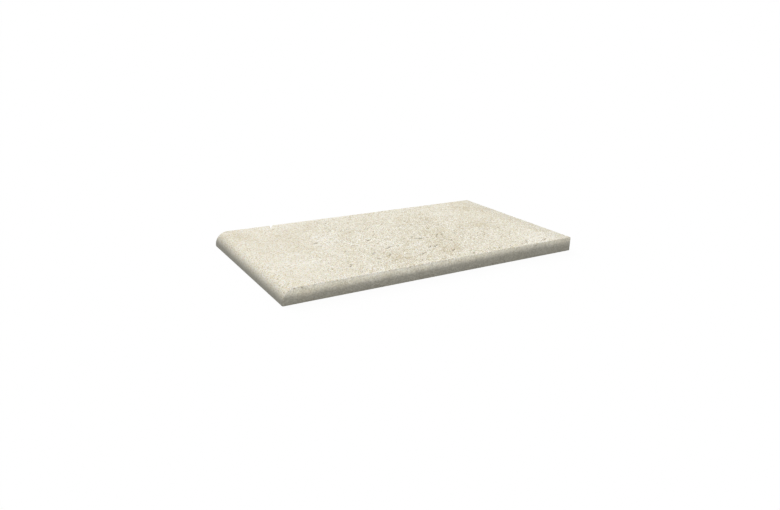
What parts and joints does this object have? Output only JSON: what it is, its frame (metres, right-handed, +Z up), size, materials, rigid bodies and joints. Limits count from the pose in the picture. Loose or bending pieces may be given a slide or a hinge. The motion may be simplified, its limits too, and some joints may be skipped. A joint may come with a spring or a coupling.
{
  "type": "clinker window sill tile",
  "caption": "Flat rectangular clinker sill tile with a quarter-round nose on one short edge, straight sides and back, a stone-textured face and a keyed underside.",
  "frame": {"origin": "middle of the underside, on the floor", "axes": "+X along the tile from the rounded nose to the back edge, +Y across it, +Z up through the face"},
  "size_m": [0.245, 0.135, 0.011],
  "materials": {
    "clinker": "matt cream stone-look face and nose, greyer bare body on the sides and underside"
  },
  "bodies": {
    "root": {"sill_tile": "clinker"}
  },
  "joints": []
}
